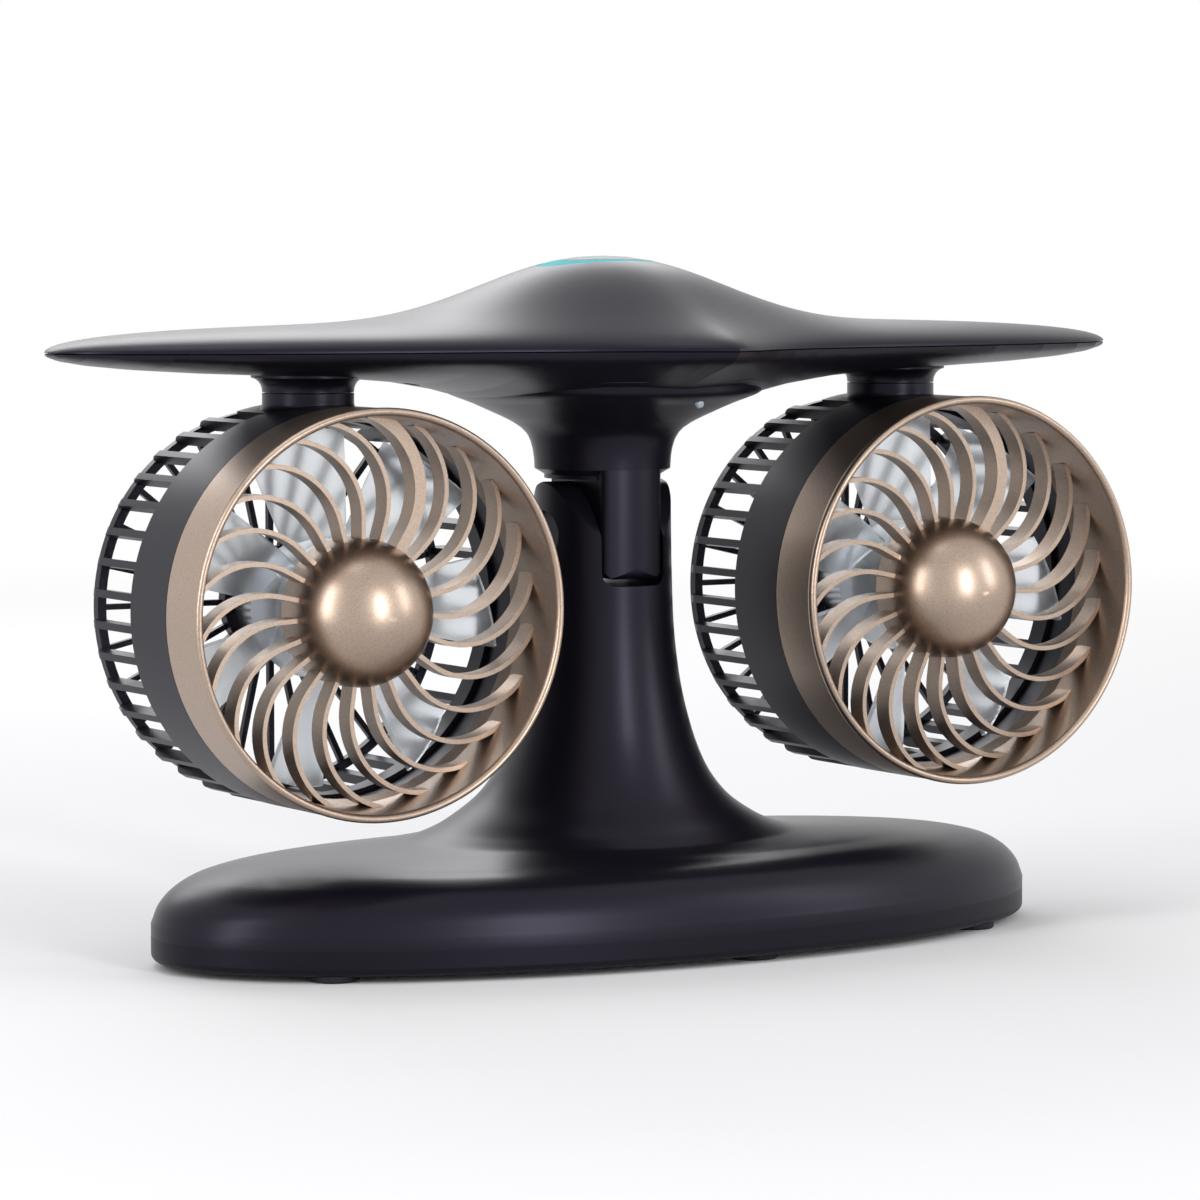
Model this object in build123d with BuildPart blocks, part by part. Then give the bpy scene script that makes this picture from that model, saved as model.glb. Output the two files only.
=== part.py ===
from build123d import *
from math import cos, exp, radians, sin, sqrt
import os

# Twin-head table fan shaped like a small aircraft: a wing on a tilting neck carries two
# turbine-like fan heads that swivel under it, all on one oval weighted foot.
# Millimetres, +Z up, fans blow towards -Y. Origin: on the table, under the column's axis.

# Overall layout
HEAD_DIA = 105.0
HEAD_SPACING = 180.0
SWIVEL_Y = -3.5
WALL = 2.0
FIT_GAP = 0.3
RUNNING_GAP = 0.05

# Foot: oval shell on a flat plate with six pads
FOOT_LENGTH = 261.6
FOOT_DEPTH = 123.6
PAD_HEIGHT = 1.8
PAD_R = 6.5
PAD_RECESS = 0.8
PLATE_THICK = 6.6
FOOT_SIDE_Z = 11.4
SHOULDER_RISE = 13.6
CROWN_RISE = 4.7
BALLAST_SIZE = (120.0, 52.0, 6.0)

# Column and the two ears at its top
COLUMN_R = 18.3
COLUMN_WAIST_R = 18.7
TILT_Z = 109.5
EAR_TOP_R = 14.2
SLOT_HALF = 9.5
SLOT_FLOOR_Z = 96.2
SLOT_CORNER_R = 3.6
PIN_R = 3.0
CAP_R = 6.5
CAP_DEPTH = 3.0
WASHER_R = 7.0
WASHER_THICK = 1.0

# Neck and tongue of the wing
TONGUE_HALF = 9.1
TONGUE_GAP_BELOW = 1.8
HOLLOW_DROP = 3.0
APRON_CORNER_R = 3.0
APRON_SIDE_R = 4.0
APRON_EDGE_R = 2.5
NECK_R = 18.2
NECK_RIM_Z = 127.0
NECK_COVE = 2.6

# Wing
WING_SPAN = 322.0
WING_CHORD = 96.0
NOSE_LENGTH = 21.5
NOSE_SPREAD = 24.0
SEAM_Z = 159.2
WING_RISE = 7.1
WING_DROP = 7.0
HUMP_RISE = 17.3
HUMP_SPREAD = 42.0
BELLY_DROP = 20.0
BELLY_SPREAD = 35.0
SEAM_LIP = 0.5

# Button oval on the hump
RING_A = 19.0
RING_B = 13.0
RING_DEPTH = 3.0
BUTTON_A = 14.8
BUTTON_B = 10.2
BUTTON_SHIFT = 2.4
BUTTON_TRAVEL = 0.6
STEM_R = 2.0
BOARD_SIZE = (64.0, 30.0, 1.6)
BOARD_Z = 160.4
SWITCH_SIDE = 6.0
SWITCH_HEIGHT = 4.3

# Swivel joint between wing and head
STUB_R = 11.9
STUB_SEAM_Z = 148.8
STUB_FLARE = 3.5
NECK_FLARE = 2.5
HEAD_CLEARANCE = 3.1
POST_R = 2.2
SPIGOT_R = 7.5
SPIGOT_BORE_R = 4.5
SPIGOT_TOP_Z = 158.0
CLIP_R = 9.6
CLIP_THICK = 1.0
CLIP_GROOVE = 1.0

# Fan head, measured from its own centre; y is depth
BEAD_Y = -42.0
RING_BACK_Y = -24.0
HOUSING_BACK_Y = -4.4
CAGE_BACK_Y = 23.5
HOUSING_WALL = 2.6
BEAD_PROUD = 0.3
BEAD_THICK = 2.4
RING_MOUTH_WALL = 1.9
RING_THROAT_WALL = 2.9
SPIGOT_RING_LENGTH = 3.5
SPIGOT_RING_WALL = 1.3
BALL_R = 19.1
BALL_Y = -27.5
BALL_BACK_Y = -22.0
VANE_COUNT = 23
VANE_DEPTH = 6.0
VANE_FRONT_Y = -30.5
VANE_THICK = 1.2
VANE_STRAIGHT_R = 24.0
VANE_CURVE_R = 20.0
VANE_START_DEG = 58.5
VANE_DUCT_THICK = 2.6
SADDLE_HALF_DEG = 16.0
SADDLE_BACK_Y = 12.4

RIB_COUNT = 40
RIB_THICK = 2.0
RIB_HEIGHT = 2.9
RIB_CORNER_R = 5.0
CAGE_RING_WALL = 2.4
CAGE_RING_DEPTH = 2.6
CAGE_FLANGE = 1.6
SPOKE_COUNT = 28
SPOKE_WIDTH = 1.5
SPOKE_DEPTH = 1.8
HUB_PLATE_R = 14.5
HUB_PLATE_THICK = 3.6

MOTOR_R = 11.5
MOTOR_FRONT_Y = 0.0
MOTOR_NOSE_R = 4.0
MOTOR_NOSE_LENGTH = 1.6
SHAFT_R = 1.0
SHAFT_FRONT_Y = -17.0
SHAFT_BACK_Y = 12.0
ROTOR_HUB_R = 18.4
ROTOR_FRONT_Y = -19.6
ROTOR_BACK_Y = -3.2
BLADE_COUNT = 7
BLADE_TIP_CLEARANCE = 2.9
BLADE_THICK = 1.2
BLADE_ROOT_CHORD = 17.0
BLADE_TIP_CHORD = 27.0
BLADE_ROOT_LEAN = 38.0
BLADE_TIP_LEAN = 60.0

# Screws
SCREW_R = 1.3
SCREW_HEAD_R = 2.4
SCREW_HEAD_THICK = 1.4

# Values worked out from the sizes above
HEAD_R = HEAD_DIA / 2
HOUSING_R = HEAD_R - BEAD_PROUD
RING_MOUTH_R = HOUSING_R - RING_MOUTH_WALL
RING_THROAT_R = HOUSING_R - RING_THROAT_WALL
BLADE_TIP_R = RING_THROAT_R - BLADE_TIP_CLEARANCE
HEAD_CENTRE_Z = STUB_SEAM_Z - HEAD_CLEARANCE - HOUSING_R
SWIVEL_X = HEAD_SPACING / 2
FOOT_A = FOOT_LENGTH / 2
FOOT_B = FOOT_DEPTH / 2
PLATE_TOP_Z = PAD_HEIGHT + PLATE_THICK
WING_A = WING_SPAN / 2
WING_B = WING_CHORD / 2
HOUSING_BORE_R = HOUSING_R - HOUSING_WALL
WASHER_PROUD = SLOT_HALF - TONGUE_HALF - RUNNING_GAP
HEAD_PLACES = {"left": Location((-SWIVEL_X, SWIVEL_Y, HEAD_CENTRE_Z)),
               "right": Location((SWIVEL_X, SWIVEL_Y, HEAD_CENTRE_Z))}

os.makedirs("parts", exist_ok=True)


def save(part, name):
    part.label = name
    export_step(part, f"parts/{name}.step")


def save_both(part, name):
    for side, place in HEAD_PLACES.items():
        save(part.moved(place), f"{side}_{name}")


# Foot shell with its column: ovals stacked by height, from the wide foot to the round column
FLARE_STEPS = ((58.0, 39.0, 28.6), (48.5, 37.0, 31.0), (41.0, 34.8, 34.6), (34.0, 31.6, 39.5),
               (27.8, 27.6, 47.5), (23.6, 23.6, 58.5), (20.6, 20.6, 72.0), (19.1, 19.1, 86.0))
SHOULDER_SHARES = (0.985, 0.95, 0.90, 0.82, 0.70)
EAR_TOP_Z = TILT_Z + EAR_TOP_R
EAR_WAIST_Z = TILT_Z - EAR_TOP_R * 0.72
APRON_BOTTOM_Z = SLOT_FLOOR_Z + TONGUE_GAP_BELOW
KNUCKLE_R = TILT_Z - APRON_BOTTOM_Z
TONGUE_TOP_Z = NECK_RIM_Z + 2 * WALL
CAVITY_TOP_Z = FOOT_SIDE_Z + SHOULDER_RISE - 2 * WALL
FOOT_SCREWS = [(94.0, 0), (-94.0, 0), (40.0, 44.0), (-40.0, -44.0)]
SOCKET_SIZE = (9.2, 7.4, 3.4)
SOCKET_Z = PLATE_TOP_Z + WALL + SOCKET_SIZE[2] / 2


def crown_z(share):
    """Height of the foot's top skin where its oval is this share of full size."""
    return FOOT_SIDE_Z + SHOULDER_RISE * (1 - share**14) ** 0.684 + CROWN_RISE * (1 - share)


with BuildPart() as base_shell:
    for z in (PLATE_TOP_Z, FOOT_SIDE_Z):
        with BuildSketch(Plane.XY.offset(z)):
            Ellipse(FOOT_A, FOOT_B)
    for share in SHOULDER_SHARES:
        with BuildSketch(Plane.XY.offset(crown_z(share))):
            Ellipse(FOOT_A * share, FOOT_B * share)
    for a, b, z in FLARE_STEPS:
        with BuildSketch(Plane.XY.offset(z)):
            Ellipse(a, b)
    for radius, z in ((COLUMN_WAIST_R, SLOT_FLOOR_Z), (COLUMN_R, EAR_TOP_Z)):
        with BuildSketch(Plane.XY.offset(z)):
            Ellipse(radius, radius)
    loft()
    # Hollow foot, open below, with a post at each screw
    with BuildSketch(Plane.XY.offset(PLATE_TOP_Z)):
        Ellipse(FOOT_A - 2 * WALL, FOOT_B - 2 * WALL)
    extrude(amount=CAVITY_TOP_Z - PLATE_TOP_Z, taper=30, mode=Mode.SUBTRACT)
    with BuildSketch(Plane.XY.offset(PLATE_TOP_Z)):
        with Locations(*FOOT_SCREWS):
            Circle(2 * SCREW_HEAD_R)
    extrude(amount=CAVITY_TOP_Z - PLATE_TOP_Z)
    with Locations(*[Location((x, y, PLATE_TOP_Z), (180, 0, 0)) for x, y in FOOT_SCREWS]):
        Hole(SCREW_R, depth=3 * SCREW_HEAD_R)
    # Cable way up the column
    with BuildSketch(Plane.XY.offset(CAVITY_TOP_Z - WALL)):
        Circle(COLUMN_R / 2)
    extrude(amount=SLOT_FLOOR_Z - 4 * WALL - CAVITY_TOP_Z, mode=Mode.SUBTRACT)
    # Ears: rounded in side view, wider towards the column
    with BuildSketch(Plane.YZ):
        with Locations((0, EAR_WAIST_Z)):
            Rectangle(3 * COLUMN_R, 3 * COLUMN_R, align=(Align.CENTER, Align.MIN))
        with BuildLine():
            ear = Spline((-COLUMN_WAIST_R - 0.4, EAR_WAIST_Z),
                         (-EAR_TOP_R * 0.80, TILT_Z + EAR_TOP_R * 0.42), (0, EAR_TOP_Z),
                         tangents=((0.1, 1), (1, 0)))
            mirror(ear, about=Plane.YZ)
            Line(ear @ 0, (COLUMN_WAIST_R + 0.4, EAR_WAIST_Z))
        make_face(mode=Mode.SUBTRACT)
    extrude(amount=COLUMN_R + 2, both=True, mode=Mode.SUBTRACT)
    # Slot between the ears, open to front and back, with a round floor
    with BuildSketch(Plane.XZ):
        with Locations((0, SLOT_FLOOR_Z)):
            slot = Rectangle(2 * SLOT_HALF, 2 * COLUMN_R, align=(Align.CENTER, Align.MIN))
        fillet(slot.vertices().group_by(Axis.Y)[0], SLOT_CORNER_R)
    extrude(amount=2 * COLUMN_R, both=True, mode=Mode.SUBTRACT)
    # Pin hole with a round recess outside and a washer seat inside each ear
    with BuildSketch(Plane.YZ):
        with Locations((0, TILT_Z)):
            Circle(PIN_R)
    extrude(amount=2 * COLUMN_R, both=True, mode=Mode.SUBTRACT)
    for side in (-1, 1):
        with BuildSketch(Plane.YZ.offset(side * (COLUMN_R - CAP_DEPTH))):
            with Locations((0, TILT_Z)):
                Circle(CAP_R)
        extrude(amount=side * CAP_DEPTH * 2, mode=Mode.SUBTRACT)
        with BuildSketch(Plane.YZ.offset(side * SLOT_HALF)):
            with Locations((0, TILT_Z)):
                Circle(WASHER_R)
        extrude(amount=side * (WASHER_THICK - WASHER_PROUD), mode=Mode.SUBTRACT)
    # Mouth for the power socket at the back
    with Locations((0, FOOT_B, SOCKET_Z)):
        Box(SOCKET_SIZE[0] + FIT_GAP, 8 * WALL, SOCKET_SIZE[2] + FIT_GAP, mode=Mode.SUBTRACT)
save(base_shell.part, "base_shell")

# Bottom plate with a recess for each pad
PAD_PLACES = [(98.0, 32.0), (-98.0, 32.0), (98.0, -32.0), (-98.0, -32.0), (16.0, -51.0), (-16.0, 51.0)]

with BuildPart() as base_plate:
    with BuildSketch(Plane.XY.offset(PAD_HEIGHT)):
        Ellipse(FOOT_A, FOOT_B)
    extrude(amount=PLATE_THICK)
    fillet(base_plate.faces().sort_by(Axis.Z)[0].edges(), WALL)
    with Locations(*[(x, y, PAD_HEIGHT) for x, y in PAD_PLACES]):
        Cylinder(PAD_R, PAD_RECESS, align=(Align.CENTER, Align.CENTER, Align.MIN), mode=Mode.SUBTRACT)
    with Locations(*[Location((x, y, PAD_HEIGHT), (180, 0, 0)) for x, y in FOOT_SCREWS]):
        CounterBoreHole(SCREW_R, SCREW_HEAD_R, SCREW_HEAD_THICK * 2, depth=PLATE_THICK)
save(base_plate.part, "base_plate")

with BuildPart() as rubber_feet:
    with Locations(*[(x, y, 0) for x, y in PAD_PLACES]):
        Cylinder(PAD_R, PAD_HEIGHT + PAD_RECESS, align=(Align.CENTER, Align.CENTER, Align.MIN))
    chamfer(rubber_feet.faces().group_by(Axis.Z)[0].edges(), PAD_HEIGHT / 4)
save(rubber_feet.part, "rubber_feet")


def screw_solids(name, places, length):
    """Pan-head screws: each place is the seat under the head, +Z along the shank."""
    with BuildPart() as screws:
        with Locations(*places):
            Cylinder(SCREW_R, length, align=(Align.CENTER, Align.CENTER, Align.MIN))
            Cylinder(SCREW_HEAD_R - FIT_GAP, SCREW_HEAD_THICK,
                     align=(Align.CENTER, Align.CENTER, Align.MAX))
    return screws.part


FOOT_SCREW_SEAT_Z = PAD_HEIGHT + 2 * SCREW_HEAD_THICK
save(screw_solids("base_screws", [(x, y, FOOT_SCREW_SEAT_Z) for x, y in FOOT_SCREWS],
                  PLATE_THICK + SCREW_HEAD_R), "base_screws")

with BuildPart() as ballast_weight:
    with Locations((0, 0, PLATE_TOP_Z)):
        Box(*BALLAST_SIZE, align=(Align.CENTER, Align.CENTER, Align.MIN))
save(ballast_weight.part, "ballast_weight")

SOCKET_FACE_Y = FOOT_B - 2.2
with BuildPart() as usb_socket:
    with Locations((0, SOCKET_FACE_Y, SOCKET_Z)):
        Box(*SOCKET_SIZE, align=(Align.CENTER, Align.MAX, Align.CENTER))
    with BuildSketch(Plane.XZ.offset(-SOCKET_FACE_Y)):
        with Locations((0, SOCKET_Z)):
            SlotOverall(8.4, 2.6)
    extrude(amount=6.0, mode=Mode.SUBTRACT)
    with BuildSketch(Plane.XZ.offset(-SOCKET_FACE_Y + 1.0)):
        with Locations((0, SOCKET_Z)):
            Rectangle(6.6, 0.7)
    extrude(amount=5.2)
save(usb_socket.part, "usb_socket")

with BuildPart() as power_board:
    with Locations((0, SOCKET_FACE_Y - SOCKET_SIZE[1] / 2, PLATE_TOP_Z)):
        Box(24.0, 18.0, WALL, align=(Align.CENTER, Align.MAX, Align.MIN))
save(power_board.part, "power_board")

# Tilt pin, caps and friction washers
with BuildPart() as tilt_pin:
    with BuildSketch(Plane.YZ.offset(-COLUMN_R + CAP_DEPTH)):
        with Locations((0, TILT_Z)):
            Circle(PIN_R)
    extrude(amount=2 * (COLUMN_R - CAP_DEPTH))
save(tilt_pin.part, "tilt_pin")

with BuildPart() as hinge_caps:
    for side in (-1, 1):
        with BuildSketch(Plane.YZ.offset(side * (COLUMN_R - CAP_DEPTH))):
            with Locations((0, TILT_Z)):
                Circle(CAP_R - FIT_GAP / 3)
        extrude(amount=side * CAP_DEPTH * 0.55)
save(hinge_caps.part, "hinge_caps")

with BuildPart() as friction_washers:
    for side in (-1, 1):
        with BuildSketch(Plane.YZ.offset(side * (SLOT_HALF - WASHER_PROUD))):
            with Locations((0, TILT_Z)):
                Circle(WASHER_R - FIT_GAP / 3)
                Circle(PIN_R, mode=Mode.SUBTRACT)
        extrude(amount=side * WASHER_THICK)
save(friction_washers.part, "friction_washers")


# Wing: cross-sections along its span, front and back alike
def half_chord(x):
    """Half depth of the wing at this place on the span."""
    oval = WING_B * sqrt(max(1 - (x / WING_A) ** 2, 0))
    return oval + NOSE_LENGTH * exp(-abs(x / NOSE_SPREAD) ** 1.35)


def hump_above(distance):
    """Share of the hump on top of the wing, this far from the middle."""
    return exp(-(distance / HUMP_SPREAD) ** 2.2)


def belly_below(distance):
    """Share of the belly under the wing, which runs into the trumpet."""
    return exp(-(distance / BELLY_SPREAD) ** 1.6)


def skin(x, share, rise, hump, swelling, inset):
    """Point on the wing's skin: share 0 is the front edge, 1 is the middle."""
    chord = half_chord(x) - inset
    y = chord * (1 - share)
    plate = rise * sqrt(max(1 - abs(x / WING_A) ** 3, 0)) - inset
    edge = sqrt(max(1 - (1 - share) ** 2.6, 0))
    swell = hump * swelling(sqrt(x * x + y * y)) * (1 - (1 - share) ** 4)
    return (-y, plate * edge + swell)


HUMP_STATIONS = (0.0, 6.0, 12.0, 19.0, 27.0, 36.0, 46.0, 60.0, 80.0)
TIP_INSETS = (59.0, 39.0, 23.0, 12.0, 5.0, 1.5, 0.2)
SPAN_STATIONS = HUMP_STATIONS + tuple(WING_A - inset for inset in TIP_INSETS)
SKIN_SHARES = (0.0, 0.03, 0.10, 0.22, 0.42, 0.68, 1.0)


def wing_sketch(x, rise, hump, swelling, inset, way):
    """One closed cross-section, with its flat side on the seam."""
    front = [skin(x, share, rise, hump, swelling, inset) for share in SKIN_SHARES]
    points = front + [(-y, z) for y, z in reversed(front[:-1])]
    with BuildSketch(Plane.YZ.offset(x)) as section:
        with BuildLine():
            outline = Spline(*[(y, SEAM_Z + way * z) for y, z in points])
            Line(outline @ 0, outline @ 1)
        make_face()
    return section.sketch


def wing_solid(rise, hump, swelling, inset, way, reach):
    """Loft through the stations out to the given one on both sides."""
    stations = [-x for x in reversed(SPAN_STATIONS[1:reach])] + list(SPAN_STATIONS[:reach])
    with BuildPart() as solid:
        loft(sections=[wing_sketch(x, rise, hump, swelling, inset, way) for x in stations],
             ruled=True)
    return solid.part


ALL_STATIONS = len(SPAN_STATIONS)
upper_skin = wing_solid(WING_RISE, HUMP_RISE, hump_above, 0, 1, ALL_STATIONS)
upper_cavity = wing_solid(WING_RISE, HUMP_RISE - WALL / 2, hump_above, WALL, 1, ALL_STATIONS - 3)
lower_skin = wing_solid(WING_DROP, BELLY_DROP, belly_below, 0, -1, ALL_STATIONS)
lower_cavity = wing_solid(WING_DROP, BELLY_DROP - WALL, belly_below, WALL, -1, ALL_STATIONS - 3)
STUB_PLACES = [(-SWIVEL_X, SWIVEL_Y), (SWIVEL_X, SWIVEL_Y)]
TIP_SCREW_X = WING_A - 43.0
WING_SCREWS = [(-TIP_SCREW_X, 0.0), (-58.0, 0.0), (58.0, 0.0), (TIP_SCREW_X, 0.0)]
BUTTON_TOP_Z = SEAM_Z + WING_RISE + HUMP_RISE
SCREW_SEAT_Z = SEAM_Z - WING_DROP * 0.55
LOWER_POST_Z = SEAM_Z - WING_DROP * 0.75
RING_BOTTOM_Z = BUTTON_TOP_Z - 2.6 * RING_DEPTH

with BuildPart() as ring_collar:
    with BuildSketch(Plane.XY.offset(RING_BOTTOM_Z - WALL)):
        Ellipse(RING_A + WALL, RING_B + WALL)
    extrude(amount=4 * RING_DEPTH)
    add(upper_skin, mode=Mode.INTERSECT)

with BuildPart() as upper_posts:
    with BuildSketch(Plane.XY.offset(SEAM_Z)):
        with Locations(*WING_SCREWS):
            Circle(SCREW_HEAD_R)
    extrude(amount=WING_RISE)
    add(upper_skin, mode=Mode.INTERSECT)

with BuildPart() as wing_upper_shell:
    add(upper_skin)
    add(upper_cavity, mode=Mode.SUBTRACT)
    # Seat for the button ring, then the way through for the button
    add(ring_collar.part)
    with BuildSketch(Plane.XY.offset(RING_BOTTOM_Z)):
        Ellipse(RING_A, RING_B)
    extrude(amount=4 * RING_DEPTH, mode=Mode.SUBTRACT)
    with BuildSketch(Plane.XY.offset(RING_BOTTOM_Z - 2 * WALL)):
        Ellipse(BUTTON_A - WALL, BUTTON_B - WALL)
    extrude(amount=4 * WALL, mode=Mode.SUBTRACT)
    # Post over each screw
    add(upper_posts.part)
    with BuildSketch(Plane.XY.offset(SEAM_Z)):
        with Locations(*WING_SCREWS):
            Circle(SCREW_R)
    extrude(amount=SCREW_SEAT_Z + WING_DROP - SEAM_Z, mode=Mode.SUBTRACT)
save(wing_upper_shell.part, "wing_upper_shell")

with BuildPart() as button_ring:
    with BuildSketch(Plane.XY.offset(RING_BOTTOM_Z)):
        Ellipse(RING_A, RING_B)
        with Locations((BUTTON_SHIFT, 0)):
            Ellipse(BUTTON_A, BUTTON_B, mode=Mode.SUBTRACT)
    extrude(amount=4 * RING_DEPTH)
    add(upper_skin, mode=Mode.INTERSECT)
save(button_ring.part, "button_ring")

SWITCH_TOP_Z = BOARD_Z + BOARD_SIZE[2] + SWITCH_HEIGHT
STEM_BOTTOM_Z = SWITCH_TOP_Z + BUTTON_TRAVEL + FIT_GAP / 2
BUTTON_BOTTOM_Z = RING_BOTTOM_Z + BUTTON_TRAVEL + FIT_GAP
with BuildPart() as power_button:
    with BuildSketch(Plane.XY.offset(BUTTON_BOTTOM_Z)):
        with Locations((BUTTON_SHIFT, 0)):
            Ellipse(BUTTON_A - FIT_GAP, BUTTON_B - FIT_GAP)
    extrude(amount=4 * RING_DEPTH)
    add(upper_skin, mode=Mode.INTERSECT)
    with BuildSketch(Plane.XY.offset(STEM_BOTTOM_Z)):
        Circle(STEM_R)
    extrude(amount=BUTTON_BOTTOM_Z + WALL / 2 - STEM_BOTTOM_Z)
save(power_button.part, "power_button")

NECK_PROFILE = ((NECK_R, NECK_RIM_Z), (18.6, 131.6), (20.4, 136.4), (24.0, 139.3), (30.0, 142.2),
                (37.0, 145.2), (43.0, 148.2), (47.0, 151.0))
COVE_R = NECK_R - NECK_COVE
STUB_TOP_Z = SEAM_Z - WING_DROP + 2 * WALL
STUB_FLARE_Z = STUB_SEAM_Z + FIT_GAP + STUB_FLARE
BOARD_POSTS = [(-26.0, -10.0), (-26.0, 10.0), (26.0, -10.0), (26.0, 10.0)]
POST_BOTTOM_Z = 143.5
LENS_PLACE = (8.0, -36.6, 145.0)
LENS_R = 1.2

# Tongue: an apron flush with the column in front, and a knuckle round the pin
with BuildPart() as tongue:
    with BuildSketch(Plane.YZ):
        with BuildLine():
            Line((-NECK_R, TONGUE_TOP_Z), (-NECK_R, APRON_BOTTOM_Z + APRON_CORNER_R))
            CenterArc((-NECK_R + APRON_CORNER_R, APRON_BOTTOM_Z + APRON_CORNER_R), APRON_CORNER_R,
                      180, 90)
            Line((-NECK_R + APRON_CORNER_R, APRON_BOTTOM_Z), (0, APRON_BOTTOM_Z))
            CenterArc((0, TILT_Z), KNUCKLE_R, -90, 90)
            Polyline((KNUCKLE_R, TILT_Z), (KNUCKLE_R, TONGUE_TOP_Z), (-NECK_R, TONGUE_TOP_Z))
        make_face()
        with Locations((0, TILT_Z)):
            Circle(PIN_R + RUNNING_GAP, mode=Mode.SUBTRACT)
    extrude(amount=TONGUE_HALF, both=True)
    with BuildSketch(Plane.XY.offset(APRON_BOTTOM_Z)) as plan:
        Circle(NECK_R)
        Rectangle(2 * TONGUE_HALF, 2 * NECK_R, mode=Mode.INTERSECT)
        fillet(plan.vertices(), APRON_EDGE_R)
    extrude(amount=TONGUE_TOP_Z - APRON_BOTTOM_Z, mode=Mode.INTERSECT)
    with BuildSketch(Plane.XZ):
        with Locations((0, APRON_BOTTOM_Z)):
            front = Rectangle(2 * TONGUE_HALF, TONGUE_TOP_Z - APRON_BOTTOM_Z,
                              align=(Align.CENTER, Align.MIN))
        fillet(front.vertices().group_by(Axis.Y)[0], APRON_SIDE_R)
    extrude(amount=NECK_R, both=True, mode=Mode.INTERSECT)

# Stub under the wing for a head: flared into the wing, with a boss inside
with BuildPart() as stub:
    with BuildSketch(Plane.XZ):
        with BuildLine():
            Polyline((0, STUB_TOP_Z), (0, STUB_SEAM_Z), (STUB_R, STUB_SEAM_Z),
                     (STUB_R, STUB_FLARE_Z - STUB_FLARE))
            flare = CenterArc((STUB_R + STUB_FLARE, STUB_FLARE_Z - STUB_FLARE), STUB_FLARE, 180, -80)
            Polyline(flare @ 1, (flare @ 1 + Vector(0, WALL / 2)),
                     (STUB_R, (flare @ 1).Y + WALL / 2), (STUB_R, STUB_TOP_Z), (0, STUB_TOP_Z))
        make_face()
    revolve(axis=Axis.Z)

with BuildPart() as wing_lower_shell:
    add(lower_skin)
    # Trumpet from the neck up to the wing's underside
    with BuildSketch(Plane.XZ):
        with BuildLine():
            Spline(*NECK_PROFILE, tangents=((0, 1), (1, 0.15)))
            Polyline(NECK_PROFILE[-1], (NECK_PROFILE[-1][0], SEAM_Z - WING_DROP * 0.6),
                     (0, SEAM_Z - WING_DROP * 0.6), (0, NECK_RIM_Z - NECK_COVE),
                     (COVE_R, NECK_RIM_Z - NECK_COVE))
            Line((COVE_R, NECK_RIM_Z - NECK_COVE), (COVE_R, NECK_RIM_Z - NECK_COVE * 0.6))
            Line((COVE_R, NECK_RIM_Z - NECK_COVE * 0.6), NECK_PROFILE[0])
        make_face()
    revolve(axis=Axis.Z)
    add(lower_cavity, mode=Mode.SUBTRACT)
    # Hollow inside the trumpet for the wires
    with BuildSketch(Plane.XZ):
        with BuildLine():
            inside = Spline(*[(x - WALL, z + HOLLOW_DROP) for x, z in NECK_PROFILE[1:]])
            Polyline(inside @ 1, (inside @ 1 + Vector(0, WALL)), (0, (inside @ 1).Y + WALL),
                     (0, NECK_PROFILE[1][1]), (NECK_PROFILE[1][0] - WALL, NECK_PROFILE[1][1]),
                     inside @ 0)
        make_face()
    revolve(axis=Axis.Z, mode=Mode.SUBTRACT)
    add(tongue.part)
    # Stubs for the heads, flared into the wing, with a bore for each spigot
    with Locations(*[(x, y, 0) for x, y in STUB_PLACES]):
        add(stub.part)
    with BuildSketch(Plane.XY.offset(STUB_SEAM_Z)):
        with Locations(*STUB_PLACES):
            Circle(SPIGOT_R + RUNNING_GAP)
    extrude(amount=WING_CHORD, mode=Mode.SUBTRACT)
    # Posts under the control board and the seat of the indicator lens
    with BuildSketch(Plane.XY.offset(BOARD_Z)):
        with Locations(*BOARD_POSTS):
            Circle(POST_R)
    extrude(amount=POST_BOTTOM_Z - BOARD_Z)
    with Locations(LENS_PLACE):
        Sphere(LENS_R, mode=Mode.SUBTRACT)
    # Post and recess for each screw that holds the upper shell
    with BuildSketch(Plane.XY.offset(LOWER_POST_Z)):
        with Locations(*WING_SCREWS):
            Circle(SCREW_HEAD_R + WALL / 2)
    extrude(amount=SEAM_Z - LOWER_POST_Z)
    with Locations(*[Location((x, y, SCREW_SEAT_Z), (180, 0, 0)) for x, y in WING_SCREWS]):
        Cylinder(SCREW_HEAD_R, WING_DROP, align=(Align.CENTER, Align.CENTER, Align.MIN),
                 mode=Mode.SUBTRACT)
        Hole(SCREW_R, depth=2 * WING_DROP)
save(wing_lower_shell.part, "wing_lower_shell")

save(screw_solids("wing_screws", [(x, y, SCREW_SEAT_Z) for x, y in WING_SCREWS], WING_DROP),
     "wing_screws")

with BuildPart() as control_board:
    with Locations((0, 0, BOARD_Z)):
        Box(*BOARD_SIZE, align=(Align.CENTER, Align.CENTER, Align.MIN))
    with Locations((0, 0, BOARD_Z + BOARD_SIZE[2])):
        Box(SWITCH_SIDE, SWITCH_SIDE, SWITCH_HEIGHT, align=(Align.CENTER, Align.CENTER, Align.MIN))
    with Locations(*[(x * 0.6, y * 0.5, BOARD_Z + BOARD_SIZE[2]) for x, y in BOARD_POSTS]):
        Box(5.0, 4.0, 1.8, align=(Align.CENTER, Align.CENTER, Align.MIN))
save(control_board.part, "control_board")

# Lens of the indicator light, let into the trumpet on its front
with BuildPart() as indicator_lens:
    with Locations(LENS_PLACE):
        Sphere(LENS_R)
save(indicator_lens.part, "indicator_lens")


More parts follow.
